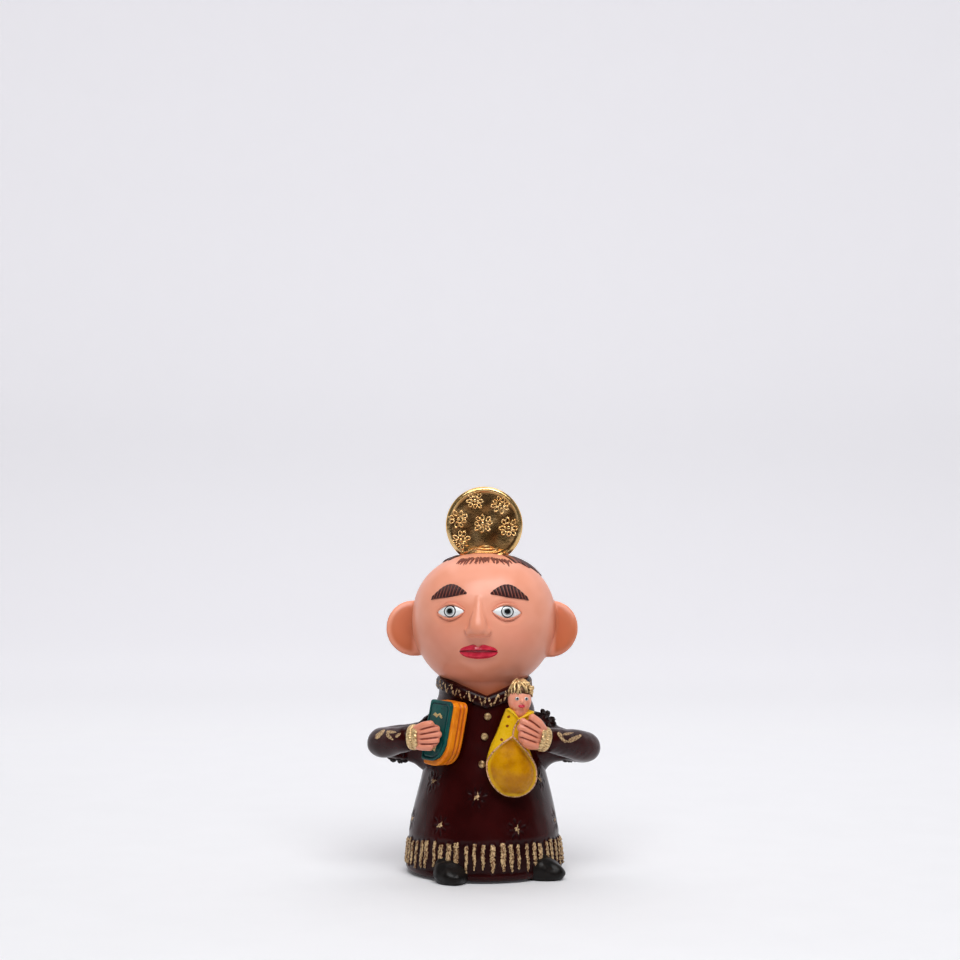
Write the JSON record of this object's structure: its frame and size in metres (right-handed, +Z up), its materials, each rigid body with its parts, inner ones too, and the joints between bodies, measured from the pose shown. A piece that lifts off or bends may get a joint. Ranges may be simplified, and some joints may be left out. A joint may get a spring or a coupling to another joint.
{
  "type": "ceramic statuette",
  "caption": "Hand-painted ceramic statuette of a haloed, robed saint who holds a book and a swaddled child, standing on the flat underside of its bell-shaped robe.",
  "frame": {"origin": "centre of the robe's flat underside", "axes": "+Z up, towards the halo; the figure faces -Y; +X is towards the figure's left hand, which holds the child"},
  "size_m": [0.0961, 0.0706, 0.1627],
  "materials": {
    "painted_glaze": "gloss"
  },
  "bodies": {
    "root": {"statuette": "painted_glaze"}
  },
  "joints": []
}
